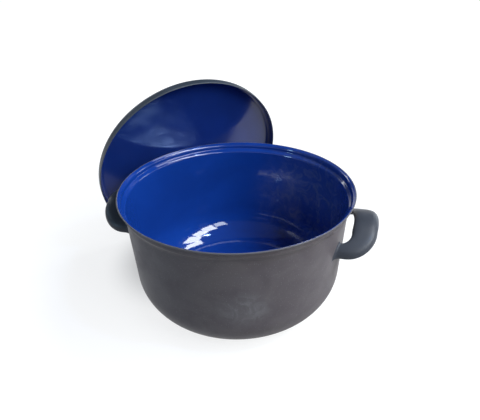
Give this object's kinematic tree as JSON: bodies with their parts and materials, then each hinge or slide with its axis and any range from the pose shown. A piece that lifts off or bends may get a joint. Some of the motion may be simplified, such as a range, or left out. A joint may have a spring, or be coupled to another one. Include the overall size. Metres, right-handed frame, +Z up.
{
  "type": "casserole pot with lid",
  "caption": "Round two-tone enamelled steel casserole with arched loop handles, its shallow lid with a knob stood on edge and leaning on the rim.",
  "frame": {"origin": "centre of the pot's flat base, in the plane of the floor", "axes": "+Z up along the pot's axis, +X through the middle of the right handle, +Y towards the back, where the lid stands"},
  "size_m": [0.3245, 0.2959, 0.2271],
  "materials": {
    "grey_enamel": "satin vitreous enamel on drawn steel",
    "blue_enamel": "glossy vitreous enamel",
    "handle_enamel": "semi-gloss vitreous enamel on pressed steel",
    "knob_resin": "moulded phenolic resin, satin",
    "seal_rubber": "heat-proof silicone",
    "insert_brass": "turned",
    "screw_steel": "stainless"
  },
  "bodies": {
    "pot": {"pot_shell": "grey_enamel", "pot_lining": "blue_enamel", "handle_right": "handle_enamel", "handle_left": "handle_enamel"},
    "lid": {"lid_shell": "grey_enamel", "lid_lining": "blue_enamel", "lid_knob": "knob_resin", "knob_washer": "seal_rubber", "knob_insert": "insert_brass", "knob_screw": "screw_steel", "screw_washer": "screw_steel"}
  },
  "joints": [
    {"name": "lid_lift", "type": "slide", "parent": "pot", "child": "lid", "axis": [0, 0, 1], "range_m": [0, 0.25]}
  ]
}
